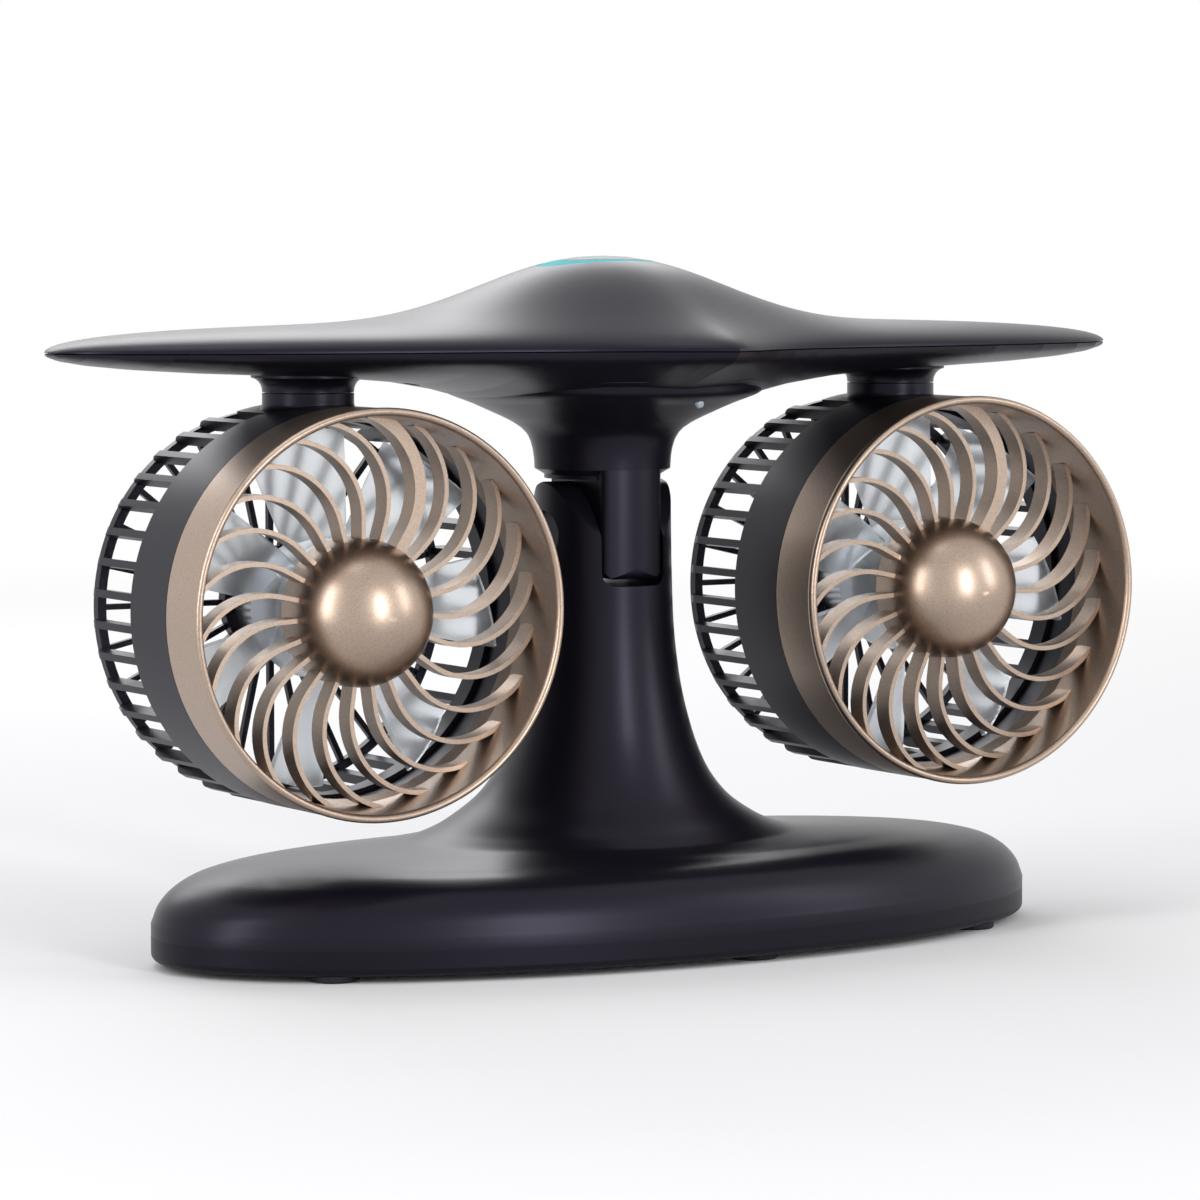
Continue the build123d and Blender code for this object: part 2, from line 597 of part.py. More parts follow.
# Fan head, in its own frame: centre on the origin, blowing towards -Y
SPIGOT_OUTER_R = HOUSING_BORE_R - FIT_GAP / 3
NECK_TOP = STUB_SEAM_Z - HEAD_CENTRE_Z - FIT_GAP
SPIGOT_TOP = SPIGOT_TOP_Z - HEAD_CENTRE_Z
CLIP_BOTTOM = STUB_TOP_Z - HEAD_CENTRE_Z + FIT_GAP
LIP_OUTER_R = HOUSING_BORE_R - FIT_GAP / 3
LIP_INNER_R = LIP_OUTER_R - 1.2
MOTOR_BACK_Y = CAGE_BACK_Y - HUB_PLATE_THICK
MOTOR_SCREW_R = 1.0
MOTOR_SCREWS = [(8.0 * cos(radians(turn)), 8.0 * sin(radians(turn))) for turn in (90, 210, 330)]
BOSS_R = 3.2
BOSS_BACK_Y = MOTOR_FRONT_Y - MOTOR_NOSE_LENGTH - 3 * FIT_GAP
VANE_TURN_DEG = 104.0


def vane_face(thickness, shift):
    """Vane seen from the front: straight out from the ball, then a curve to the ring."""
    outer = VANE_CURVE_R + thickness / 2 + shift
    inner = VANE_CURVE_R - thickness / 2 + shift
    start = BALL_R - WALL / 2
    with BuildSketch() as face:
        with BuildLine():
            outside = CenterArc((VANE_STRAIGHT_R, VANE_CURVE_R), outer, -90, VANE_TURN_DEG)
            inside = CenterArc((VANE_STRAIGHT_R, VANE_CURVE_R), inner, -90, VANE_TURN_DEG)
            Line(outside @ 1, inside @ 1)
            Polyline(inside @ 0, (start, VANE_CURVE_R - inner), (start, VANE_CURVE_R - outer),
                     outside @ 0)
        make_face()
    return face.sketch


with BuildPart() as front_grille:
    # Ring with a rounded bead in front and a spigot behind
    with BuildSketch():
        with BuildLine():
            Polyline((RING_MOUTH_R, BEAD_Y + BEAD_THICK / 2), (RING_THROAT_R, RING_BACK_Y),
                     (SPIGOT_OUTER_R - SPIGOT_RING_WALL, RING_BACK_Y + SPIGOT_RING_LENGTH),
                     (SPIGOT_OUTER_R, RING_BACK_Y + SPIGOT_RING_LENGTH),
                     (SPIGOT_OUTER_R, RING_BACK_Y), (HOUSING_R, RING_BACK_Y),
                     (HOUSING_R, BEAD_Y + BEAD_THICK))
            Spline((HOUSING_R, BEAD_Y + BEAD_THICK), (HEAD_R - BEAD_THICK / 3, BEAD_Y),
                   (RING_MOUTH_R, BEAD_Y + BEAD_THICK / 2), tangents=((0.5, -1), (-0.3, 1)))
        make_face()
    revolve(axis=Axis.Y)
    # Vanes between ball and ring, one of them thick enough to hide a wire
    with BuildSketch(Plane.XZ.offset(-VANE_FRONT_Y)):
        with PolarLocations(0, VANE_COUNT, start_angle=VANE_START_DEG):
            add(vane_face(VANE_THICK, 0))
        with PolarLocations(0, 1, start_angle=VANE_START_DEG):
            add(vane_face(VANE_DUCT_THICK, VANE_DUCT_THICK / 2))
        Circle(HOUSING_R - WALL / 2, mode=Mode.INTERSECT)
    extrude(amount=-VANE_DEPTH)
    # Ball with a skirt, hollow and open behind
    with BuildSketch():
        with BuildLine():
            CenterArc((0, BALL_Y), BALL_R, -90, 90)
            Polyline((BALL_R, BALL_Y), (BALL_R, BALL_BACK_Y), (BALL_R - WALL, BALL_BACK_Y),
                     (BALL_R - WALL, BALL_Y))
            CenterArc((0, BALL_Y), BALL_R - WALL, 0, -90)
            Line((0, BALL_Y - BALL_R + WALL), (0, BALL_Y - BALL_R))
        make_face()
    revolve(axis=Axis.Y)
save_both(front_grille.part, "front_grille")

SADDLE_SPAN = 2 * SADDLE_HALF_DEG
with BuildPart() as housing:
    with BuildSketch():
        with BuildLine():
            Polyline((HOUSING_R, RING_BACK_Y + SEAM_LIP / 2), (HOUSING_R, HOUSING_BACK_Y),
                     (HOUSING_BORE_R, HOUSING_BACK_Y), (HOUSING_BORE_R, RING_BACK_Y + SEAM_LIP / 2),
                     close=True)
        make_face()
    revolve(axis=Axis.Y)
    # Saddle behind the ring, under the swivel neck
    with BuildSketch(Plane.XZ.offset(-HOUSING_BACK_Y)):
        with BuildLine():
            far = CenterArc((0, 0), HOUSING_R, 90 - SADDLE_HALF_DEG, SADDLE_SPAN)
            near = CenterArc((0, 0), HOUSING_BORE_R, 90 - SADDLE_HALF_DEG, SADDLE_SPAN)
            Line(far @ 0, near @ 0)
            Line(far @ 1, near @ 1)
        make_face()
    extrude(amount=HOUSING_BACK_Y - SADDLE_BACK_Y)
    # Neck, flared onto the saddle
    with BuildSketch(Plane.XZ):
        with BuildLine():
            Polyline((0, HOUSING_BORE_R - 2 * WALL), (0, NECK_TOP), (STUB_R, NECK_TOP),
                     (STUB_R, NECK_TOP - NECK_FLARE))
            flare = CenterArc((STUB_R + NECK_FLARE, NECK_TOP - NECK_FLARE), NECK_FLARE, 180, 80)
            Polyline(flare @ 1, (STUB_R + NECK_FLARE, HOUSING_BORE_R - 2 * WALL),
                     (0, HOUSING_BORE_R - 2 * WALL))
        make_face()
    revolve(axis=Axis.Z)
    # Bore through the ring again, and an end to the flare level with the saddle's
    with BuildSketch(Plane.XZ.offset(STUB_R + 2 * NECK_FLARE)):
        Circle(HOUSING_BORE_R)
    extrude(amount=-2 * (STUB_R + 2 * NECK_FLARE), mode=Mode.SUBTRACT)
    with BuildSketch(Plane.XZ.offset(-SADDLE_BACK_Y)):
        Rectangle(4 * STUB_R, 2 * HOUSING_R + NECK_FLARE)
    extrude(amount=-STUB_R, mode=Mode.SUBTRACT)
    # Spigot that turns in the wing's stub, with the groove for its clip
    with BuildSketch(Plane.XZ):
        with BuildLine():
            Polyline((0, NECK_TOP - WALL), (SPIGOT_R, NECK_TOP - WALL), (SPIGOT_R, CLIP_BOTTOM),
                     (SPIGOT_R - CLIP_GROOVE, CLIP_BOTTOM),
                     (SPIGOT_R - CLIP_GROOVE, CLIP_BOTTOM + CLIP_THICK),
                     (SPIGOT_R, CLIP_BOTTOM + CLIP_THICK), (SPIGOT_R, SPIGOT_TOP),
                     (0, SPIGOT_TOP), close=True)
        make_face()
    revolve(axis=Axis.Z)
    with BuildSketch(Plane.XY):
        Circle(SPIGOT_BORE_R)
    extrude(amount=SPIGOT_TOP, mode=Mode.SUBTRACT)
save_both(housing.part, "housing")

with BuildPart() as swivel_clip:
    with BuildSketch(Plane.XY.offset(CLIP_BOTTOM)):
        Circle(CLIP_R)
        Circle(SPIGOT_R - CLIP_GROOVE, mode=Mode.SUBTRACT)
        with Locations((0, CLIP_R)):
            Rectangle(CLIP_R * 0.6, CLIP_R * 1.2, mode=Mode.SUBTRACT)
    extrude(amount=CLIP_THICK)
save_both(swivel_clip.part, "swivel_clip")

# Rear cage: flange, ribs along the drum, a ring at the back and spokes to the motor plate
CAGE_OUTER_R = HOUSING_R - 0.1
CAGE_INNER_R = CAGE_OUTER_R - RIB_HEIGHT
CAGE_RING_R = CAGE_OUTER_R - 1.9
CAGE_FRONT_Y = HOUSING_BACK_Y + FIT_GAP / 3
FLANGE_BACK_Y = HOUSING_BACK_Y + CAGE_FLANGE
RIB_STEP = 360 / RIB_COUNT
RIBS_LEFT_OUT = 4
SADDLE_CLEAR_DEG = SADDLE_HALF_DEG + 1.0

with BuildPart() as ribs:
    with BuildSketch(Plane.XZ.offset(-CAGE_BACK_Y)):
        with PolarLocations((CAGE_INNER_R + CAGE_OUTER_R + WALL) / 2, RIB_COUNT - RIBS_LEFT_OUT,
                            start_angle=90 + (RIBS_LEFT_OUT + 1) * RIB_STEP / 2,
                            angular_range=360 - (RIBS_LEFT_OUT + 1) * RIB_STEP, endpoint=True):
            Rectangle(RIB_HEIGHT + WALL, RIB_THICK)
    extrude(amount=CAGE_BACK_Y - CAGE_FRONT_Y)
with BuildPart() as drum:
    with BuildSketch(Plane.XZ.offset(-CAGE_BACK_Y)):
        Circle(CAGE_OUTER_R)
    extrude(amount=CAGE_BACK_Y - CAGE_FRONT_Y)
    fillet(drum.edges().filter_by(GeomType.CIRCLE).sort_by(Axis.Y)[-1], RIB_CORNER_R)

with BuildPart() as rear_grille:
    add(ribs.part)
    add(drum.part, mode=Mode.INTERSECT)
    # Flange behind the housing, with a lip inside its bore
    with BuildSketch():
        with BuildLine():
            Polyline((CAGE_OUTER_R, CAGE_FRONT_Y), (CAGE_OUTER_R, FLANGE_BACK_Y),
                     (LIP_INNER_R, FLANGE_BACK_Y), (LIP_INNER_R, HOUSING_BACK_Y - 3 * CAGE_FLANGE),
                     (LIP_OUTER_R, HOUSING_BACK_Y - 3 * CAGE_FLANGE),
                     (LIP_OUTER_R, CAGE_FRONT_Y), close=True)
        make_face()
    revolve(axis=Axis.Y)
    with BuildSketch(Plane.XZ.offset(-CAGE_BACK_Y + CAGE_RING_DEPTH)):
        Circle(CAGE_RING_R)
        Circle(CAGE_RING_R - CAGE_RING_WALL, mode=Mode.SUBTRACT)
    extrude(amount=-CAGE_RING_DEPTH)
    with BuildSketch(Plane.XZ.offset(-CAGE_BACK_Y + SPOKE_DEPTH)):
        with PolarLocations((HUB_PLATE_R + CAGE_RING_R) / 2 - WALL / 2, SPOKE_COUNT):
            Rectangle(CAGE_RING_R - HUB_PLATE_R, SPOKE_WIDTH)
    extrude(amount=-SPOKE_DEPTH)
    with BuildSketch(Plane.XZ.offset(-CAGE_BACK_Y + HUB_PLATE_THICK)):
        Circle(HUB_PLATE_R)
    extrude(amount=-HUB_PLATE_THICK)
    # Room for the saddle at the top
    with BuildSketch(Plane.XZ.offset(-HOUSING_BACK_Y + 4 * CAGE_FLANGE)):
        with BuildLine():
            far = CenterArc((0, 0), HOUSING_R + WALL, 90 - SADDLE_CLEAR_DEG, 2 * SADDLE_CLEAR_DEG)
            near = CenterArc((0, 0), LIP_OUTER_R, 90 - SADDLE_CLEAR_DEG, 2 * SADDLE_CLEAR_DEG)
            Line(far @ 0, near @ 0)
            Line(far @ 1, near @ 1)
        make_face()
    extrude(amount=HOUSING_BACK_Y - SADDLE_BACK_Y - FIT_GAP - 4 * CAGE_FLANGE, mode=Mode.SUBTRACT)
    with Locations(*[Location((x, CAGE_BACK_Y, z), (90, 0, 0)) for x, z in MOTOR_SCREWS]):
        CounterBoreHole(MOTOR_SCREW_R, 2 * MOTOR_SCREW_R, HUB_PLATE_THICK / 2)
save_both(rear_grille.part, "rear_grille")

with BuildPart() as motor:
    with BuildSketch():
        with BuildLine():
            Polyline((SHAFT_R + RUNNING_GAP, MOTOR_BACK_Y - WALL), (0, MOTOR_BACK_Y - WALL),
                     (0, MOTOR_BACK_Y), (MOTOR_R, MOTOR_BACK_Y), (MOTOR_R, MOTOR_FRONT_Y + 1),
                     (MOTOR_R - 1, MOTOR_FRONT_Y), (MOTOR_NOSE_R, MOTOR_FRONT_Y),
                     (MOTOR_NOSE_R, MOTOR_FRONT_Y - MOTOR_NOSE_LENGTH),
                     (SHAFT_R + RUNNING_GAP, MOTOR_FRONT_Y - MOTOR_NOSE_LENGTH), close=True)
        make_face()
    revolve(axis=Axis.Y)
    with Locations(*[Location((x, MOTOR_BACK_Y, z), (90, 0, 0)) for x, z in MOTOR_SCREWS]):
        Hole(MOTOR_SCREW_R, depth=3 * WALL)
save_both(motor.part, "motor")

with BuildPart() as motor_screws:
    with BuildSketch(Plane.XZ.offset(-CAGE_BACK_Y + HUB_PLATE_THICK / 2)):
        with Locations(*MOTOR_SCREWS):
            Circle(2 * MOTOR_SCREW_R - FIT_GAP / 3)
    extrude(amount=-HUB_PLATE_THICK / 4)
    with BuildSketch(Plane.XZ.offset(-CAGE_BACK_Y + HUB_PLATE_THICK / 2)):
        with Locations(*MOTOR_SCREWS):
            Circle(MOTOR_SCREW_R)
    extrude(amount=HUB_PLATE_THICK / 2 + 2 * WALL)
save_both(motor_screws.part, "motor_screws")

with BuildPart() as motor_shaft:
    with BuildSketch(Plane.XZ.offset(-SHAFT_BACK_Y)):
        Circle(SHAFT_R)
    extrude(amount=SHAFT_BACK_Y - SHAFT_FRONT_Y)
save_both(motor_shaft.part, "motor_shaft")


BLADE_MID_Y = (ROTOR_FRONT_Y + ROTOR_BACK_Y) / 2
BLADE_ENDS = (ROTOR_HUB_R - WALL / 2, BLADE_TIP_R + WALL)


def blade_section(share):
    """Flat blade section at this share of the way from hub to tip, leaning off the fan's axis."""
    radius = BLADE_ENDS[0] + share * (BLADE_ENDS[1] - BLADE_ENDS[0])
    chord = BLADE_ROOT_CHORD + share * (BLADE_TIP_CHORD - BLADE_ROOT_CHORD)
    lean = BLADE_ROOT_LEAN + sqrt(share) * (BLADE_TIP_LEAN - BLADE_ROOT_LEAN)
    place = Plane(origin=(radius, BLADE_MID_Y, 0), x_dir=(0, 1, 0), z_dir=(1, 0, 0))
    with BuildSketch(place) as section:
        Rectangle(chord, BLADE_THICK, rotation=lean)
    return section.sketch


with BuildPart() as blade:
    loft(sections=[blade_section(share) for share in (0, 0.5, 1)])
    with BuildSketch(Plane.XZ.offset(-ROTOR_BACK_Y)):
        Circle(BLADE_TIP_R)
    extrude(amount=ROTOR_BACK_Y - ROTOR_FRONT_Y, mode=Mode.INTERSECT)

with BuildPart() as impeller:
    # Cup over the motor's nose, with a boss pressed on the shaft
    with BuildSketch():
        with BuildLine():
            Polyline((0, ROTOR_FRONT_Y), (ROTOR_HUB_R - WALL, ROTOR_FRONT_Y),
                     (ROTOR_HUB_R, ROTOR_FRONT_Y + WALL), (ROTOR_HUB_R, ROTOR_BACK_Y),
                     (ROTOR_HUB_R - WALL, ROTOR_BACK_Y), (ROTOR_HUB_R - WALL, ROTOR_FRONT_Y + WALL),
                     (BOSS_R, ROTOR_FRONT_Y + WALL), (BOSS_R, BOSS_BACK_Y), (SHAFT_R, BOSS_BACK_Y),
                     (SHAFT_R, SHAFT_FRONT_Y), (0, SHAFT_FRONT_Y), close=True)
        make_face()
    revolve(axis=Axis.Y)
    for index in range(BLADE_COUNT):
        add(blade.part.rotate(Axis.Y, index * 360 / BLADE_COUNT))
save_both(impeller.part, "impeller")
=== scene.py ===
# Table fan with two turbine-like heads under a wing: its looks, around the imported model.
import math

import bmesh
import bpy
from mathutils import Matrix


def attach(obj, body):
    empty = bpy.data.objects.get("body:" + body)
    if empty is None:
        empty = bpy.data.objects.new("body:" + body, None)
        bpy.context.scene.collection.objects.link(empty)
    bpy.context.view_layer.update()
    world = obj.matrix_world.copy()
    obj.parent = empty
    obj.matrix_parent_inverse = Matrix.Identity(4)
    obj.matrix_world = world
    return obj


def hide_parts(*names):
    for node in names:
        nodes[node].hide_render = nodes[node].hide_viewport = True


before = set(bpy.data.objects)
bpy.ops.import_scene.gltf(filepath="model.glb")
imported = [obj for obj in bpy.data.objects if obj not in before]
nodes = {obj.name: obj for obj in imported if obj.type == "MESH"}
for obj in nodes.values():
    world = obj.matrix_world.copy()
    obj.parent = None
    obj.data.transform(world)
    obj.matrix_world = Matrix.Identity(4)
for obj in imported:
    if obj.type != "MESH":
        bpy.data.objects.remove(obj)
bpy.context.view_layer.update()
MM = 0.001


# Camera
# A long lens at the height of the wing, from the left and a little above, as in the photograph.
CAMERA_PLACE_MM = (-685.1, -1168.5, 189.8)
CAMERA_YAW_DEG = 30.357
CAMERA_PITCH_DEG = -4.153
CAMERA_LENS_MM = 151.90
SENSOR_MM = 36.0

camera_data = bpy.data.cameras.new("studio_camera")
camera_data.sensor_width = SENSOR_MM
camera_data.lens = CAMERA_LENS_MM
camera = bpy.data.objects.new("studio_camera", camera_data)
camera.location = [value * MM for value in CAMERA_PLACE_MM]
camera.rotation_euler = (math.radians(90 + CAMERA_PITCH_DEG), 0, math.radians(-CAMERA_YAW_DEG))
bpy.context.scene.collection.objects.link(camera)
bpy.context.scene.camera = camera


def linear(hex_colour):
    """An sRGB colour such as "#8f7b6e" as linear red, green, blue and full alpha."""
    channels = [int(hex_colour[start:start + 2], 16) / 255 for start in (1, 3, 5)]
    return [c / 12.92 if c <= 0.04045 else ((c + 0.055) / 1.055) ** 2.4 for c in channels] + [1.0]


def add_node(tree, kind, links=None, **settings):
    """Add a node, set its properties and unlinked sockets, and link the sockets named in links."""
    node = tree.nodes.new("ShaderNode" + kind)
    for name, value in settings.items():
        if hasattr(node, name):
            setattr(node, name, value)
        else:
            node.inputs[name.replace("_", " ")].default_value = value
    for name, source in (links or {}).items():
        tree.links.new(source, node.inputs[name])
    return node


def new_material(name):
    """An empty node material and its tree."""
    material = bpy.data.materials.new(name)
    material.use_nodes = True
    material.node_tree.nodes.clear()
    return material, material.node_tree


def finish_nodes(material, *names):
    """Give these CAD nodes one material."""
    for name in names:
        mesh = nodes[name].data
        mesh.materials.clear()
        mesh.materials.append(material)


# Floor and studio light
# A seamless pale sweep lit by a soft box above, one behind, and narrow strips on the left, on the
# right and in front. The room is white to the camera, through clear pieces and in reflections.
FLOOR_SIDE = 12.0
SWEEP_STARTS = 0.5
SWEEP_ENDS = 1.6
# Name, place, target, width and height, watts
LAMPS = (("overhead_box", (-0.25, 0.15, 1.3), (0.0, 0.0, 0.1), (1.0, 0.7), 3.0),
         ("left_strip", (-1.1, -0.25, 0.45), (0.0, 0.0, 0.10), (0.25, 0.9), 5.0),
         ("right_strip", (1.0, -0.9, 0.55), (0.0, 0.0, 0.10), (0.25, 0.8), 3.5),
         ("front_strip", (0.1, -1.35, 0.35), (0.0, 0.0, 0.10), (0.18, 0.9), 8.0),
         ("back_box", (0.3, 1.2, 0.8), (0.0, 0.0, 0.10), (1.2, 0.5), 6.0))

floor_material, tree = new_material("matt_paper_sweep")
place = add_node(tree, "TexCoord")
distance = add_node(tree, "VectorMath", {0: place.outputs["Object"]}, operation="LENGTH")
fade = add_node(tree, "MapRange", {"Value": distance.outputs["Value"]},
                interpolation_type="SMOOTHSTEP", From_Min=SWEEP_STARTS, From_Max=SWEEP_ENDS)
paper = add_node(tree, "BsdfDiffuse", Color=linear("#f6f6f8"))
white = add_node(tree, "Emission", Color=linear("#ffffff"), Strength=1.0)
mix = add_node(tree, "MixShader", {0: fade.outputs["Result"], 1: paper.outputs[0],
                                   2: white.outputs[0]})
add_node(tree, "OutputMaterial", {"Surface": mix.outputs[0]})
floor_mesh = bpy.data.meshes.new("floor")
half = FLOOR_SIDE / 2
floor_mesh.from_pydata([(-half, -half, 0), (half, -half, 0), (half, half, 0), (-half, half, 0)], [],
                       [(0, 1, 2, 3)])
floor = bpy.data.objects.new("floor", floor_mesh)
floor_mesh.materials.append(floor_material)
bpy.context.scene.collection.objects.link(floor)

for name, place, target, size, power in LAMPS:
    lamp_data = bpy.data.lights.new(name, "AREA")
    lamp_data.shape = "RECTANGLE"
    lamp_data.size, lamp_data.size_y = size
    lamp_data.energy = power
    lamp = bpy.data.objects.new(name, lamp_data)
    lamp.location = place
    way = [t - p for t, p in zip(target, place)]
    flat = math.hypot(way[0], way[1])
    lamp.rotation_euler = (math.atan2(flat, -way[2]), 0, math.atan2(-way[0], way[1]))
    bpy.context.scene.collection.objects.link(lamp)

world = bpy.data.worlds.new("white_room")
bpy.context.scene.world = world
world.use_nodes = True
tree = world.node_tree
tree.nodes.clear()
ray = add_node(tree, "LightPath")
straight = add_node(tree, "Math", {0: ray.outputs["Is Camera Ray"],
                                   1: ray.outputs["Is Transmission Ray"]}, operation="MAXIMUM")
seen = add_node(tree, "Math", {0: straight.outputs[0], 1: ray.outputs["Is Glossy Ray"]},
                operation="MAXIMUM")
ambient = add_node(tree, "Background", Color=linear("#ffffff"), Strength=0.5)
backdrop = add_node(tree, "Background", Color=linear("#ffffff"), Strength=1.0)
mix = add_node(tree, "MixShader", {0: seen.outputs[0], 1: ambient.outputs[0],
                                   2: backdrop.outputs[0]})
add_node(tree, "OutputWorld", {"Surface": mix.outputs[0]})


# Moulded shells: foot, column, wing and housings
# ABS in charcoal black with a violet cast, moulded in a spark-eroded tool: satin, with a very
# fine grain that is drawn at 0.5 mm, coarser than the real 0.1 mm, to show at all.
def moulded(name, hex_colour, roughness, grain_mm, depth_mm, level=0.5, sheen="#e4e2ff"):
    """Moulded plastic: even colour, slightly uneven gloss and a fine tool grain."""
    material, tree = new_material(name)
    place = add_node(tree, "TexCoord")
    grain = add_node(tree, "TexNoise", {"Vector": place.outputs["Object"]},
                     Scale=1 / (grain_mm * MM), Detail=2.0)
    bump = add_node(tree, "Bump", {"Height": grain.outputs["Fac"]}, Strength=0.35,
                    Distance=depth_mm * MM)
    flow = add_node(tree, "TexNoise", {"Vector": place.outputs["Object"]}, Scale=22.0, Detail=3.0)
    gloss = add_node(tree, "MapRange", {"Value": flow.outputs["Fac"]}, To_Min=roughness - 0.03,
                     To_Max=roughness + 0.04)
    shader = add_node(tree, "BsdfPrincipled",
                      {"Roughness": gloss.outputs["Result"], "Normal": bump.outputs["Normal"]},
                      Base_Color=linear(hex_colour), IOR=1.5, Specular_IOR_Level=level,
                      Specular_Tint=linear(sheen))
    add_node(tree, "OutputMaterial", {"Surface": shader.outputs["BSDF"]})
    return material


satin_abs = moulded("satin_black_abs", "#100f16", 0.34, 0.5, 0.006, level=0.24)
finish_nodes(satin_abs, "wing_lower_shell", "left_housing", "right_housing", "left_rear_grille",
             "right_rear_grille")

# Foot and column
# One satin ABS moulding: an oval foot that sweeps up into a round column with two ears for the
# hinge, screwed to the plate from below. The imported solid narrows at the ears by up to 6.8 mm a
# side, which the real one doesn't, so this piece has its own full-width column.
FOOT_HALF_AXES = (130.8, 61.8)
FOOT_PLATE_TOP_Z = 8.4
FOOT_SIDE_Z = 11.4
FOOT_SHOULDER_RISE = 13.6
FOOT_CROWN_RISE = 4.7
SHOULDER_SHARES = (1.0, 0.985, 0.95, 0.90, 0.82, 0.70)
COLUMN_STEPS = ((58.0, 39.0, 28.6), (48.5, 37.0, 31.0), (41.0, 34.8, 34.6), (34.0, 31.6, 39.5),
                (27.8, 27.6, 47.5), (23.6, 23.6, 58.5), (20.6, 20.6, 72.0), (19.1, 19.1, 86.0),
                (18.7, 18.7, 96.2), (18.5, 18.5, 105.0), (18.3, 18.3, 123.7))
EAR_EDGE = ((-19.1, 99.3), (-17.5, 105.0), (-14.9, 110.8), (-11.4, 115.6), (-7.6, 119.8),
            (-3.9, 122.6), (0.0, 123.7))
SLOT_HALF = 9.5
SLOT_FLOOR_Z = 96.2
SLOT_CORNER_R = 3.6
PIN_Z = 109.5
PIN_R = 3.0
PLUG_R = 6.5
PLUG_SEAT_X = 15.3
SOCKET_MOUTH = (9.5, 16.0, 3.7)
SOCKET_Z = 12.1
CAVITY_HALF_AXES = (120.0, 56.0)
CAVITY_TOP_Z = 21.0
ROUND_STEPS = 192
PROFILE_STEPS = 8
EAR_STEPS = 6
CORNER_STEPS = 8
HOLE_STEPS = 64
CUT_REACH = 30.0
CUT_TOP_Z = 130.0


def smooth_through(points, steps):
    """Points on a smooth curve through these, which never swings past them."""
    gaps = [math.dist(a, b) for a, b in zip(points, points[1:])]
    slopes = [[(b - a) / gap for a, b in zip(start, end)]
              for start, end, gap in zip(points, points[1:], gaps)]
    tangents = [slopes[0]]
    for before, after in zip(slopes, slopes[1:]):
        tangents.append([2 * m * n / (m + n) if m * n > 0 else 0.0 for m, n in zip(before, after)])
    tangents.append(slopes[-1])
    curve = []
    for k, gap in enumerate(gaps):
        for step in range(steps):
            t = step / steps
            weights = (2 * t**3 - 3 * t**2 + 1, gap * (t**3 - 2 * t**2 + t),
                       3 * t**2 - 2 * t**3, gap * (t**3 - t**2))
            rows = (points[k], tangents[k], points[k + 1], tangents[k + 1])
            curve.append([sum(w * row[i] for w, row in zip(weights, rows))
                          for i in range(len(points[0]))])
    curve.append(list(points[-1]))
    return curve


def solid_from(name, rings):
    """Closed mesh through rings of points in millimetres, with flat ends."""
    mesh = bmesh.new()
    loops = [[mesh.verts.new([value * MM for value in point]) for point in ring] for ring in rings]
    count = len(loops[0])
    for low, high in zip(loops, loops[1:]):
        for k in range(count):
            after = (k + 1) % count
            mesh.faces.new((low[k], low[after], high[after], high[k]))
    mesh.faces.new(loops[0])
    mesh.faces.new(loops[-1])
    bmesh.ops.recalc_face_normals(mesh, faces=mesh.faces)
    data = bpy.data.meshes.new(name)
    mesh.to_mesh(data)
    mesh.free()
    piece = bpy.data.objects.new(name, data)
    bpy.context.scene.collection.objects.link(piece)
    return piece


def cut(piece, cutter):
    """Take the cutter's shape out of the piece."""
    modifier = piece.modifiers.new("cut", "BOOLEAN")
    modifier.object = cutter
    modifier.solver = "EXACT"
    bpy.context.view_layer.objects.active = piece
    bpy.ops.object.modifier_apply(modifier=modifier.name)
    bpy.data.objects.remove(cutter)


def circle_yz(radius, centre_z):
    """Round outline in the YZ plane."""
    turns = [2 * math.pi * k / HOLE_STEPS for k in range(HOLE_STEPS)]
    return [(radius * math.cos(turn), centre_z + radius * math.sin(turn)) for turn in turns]


def cut_along_x(piece, outline, low_x, high_x):
    """Cut a prism with this YZ outline between two places along X."""
    cut(piece, solid_from("cutter", [[(x, y, z) for y, z in outline] for x in (low_x, high_x)]))


def ovals(half_axes_and_heights):
    """Rings of points round the Z axis."""
    turns = [2 * math.pi * k / ROUND_STEPS for k in range(ROUND_STEPS)]
    return [[(a * math.cos(turn), b * math.sin(turn), z) for turn in turns]
            for a, b, z in half_axes_and_heights]


shoulder = [(FOOT_HALF_AXES[0] * share, FOOT_HALF_AXES[1] * share,
             FOOT_SIDE_Z + FOOT_SHOULDER_RISE * (1 - share**14) ** 0.684
             + FOOT_CROWN_RISE * (1 - share)) for share in SHOULDER_SHARES]
column = smooth_through(shoulder + list(COLUMN_STEPS), PROFILE_STEPS)
foot = solid_from("foot_and_column", ovals([(*FOOT_HALF_AXES, FOOT_PLATE_TOP_Z)] + column))
cavity_ends = [(*CAVITY_HALF_AXES, 0.0), (*CAVITY_HALF_AXES, CAVITY_TOP_Z)]
cut(foot, solid_from("cutter", ovals(cavity_ends)))
ear = smooth_through(EAR_EDGE, EAR_STEPS)
for way in (-1, 1):
    outline = [(-way * y, z) for y, z in ear] + [(0.0, CUT_TOP_Z), (way * CUT_REACH, CUT_TOP_Z),
                                                 (way * CUT_REACH, EAR_EDGE[0][1])]
    cut_along_x(foot, outline, -CUT_REACH, CUT_REACH)
    cut_along_x(foot, circle_yz(PLUG_R, PIN_Z), way * PLUG_SEAT_X, way * CUT_REACH)
cut_along_x(foot, circle_yz(PIN_R, PIN_Z), -CUT_REACH, CUT_REACH)
corner_turns = [math.radians(90 / CORNER_STEPS * k) for k in range(CORNER_STEPS + 1)]
floor_curve = [(SLOT_HALF - SLOT_CORNER_R + SLOT_CORNER_R * math.sin(turn),
                SLOT_FLOOR_Z + SLOT_CORNER_R - SLOT_CORNER_R * math.cos(turn))
               for turn in corner_turns]
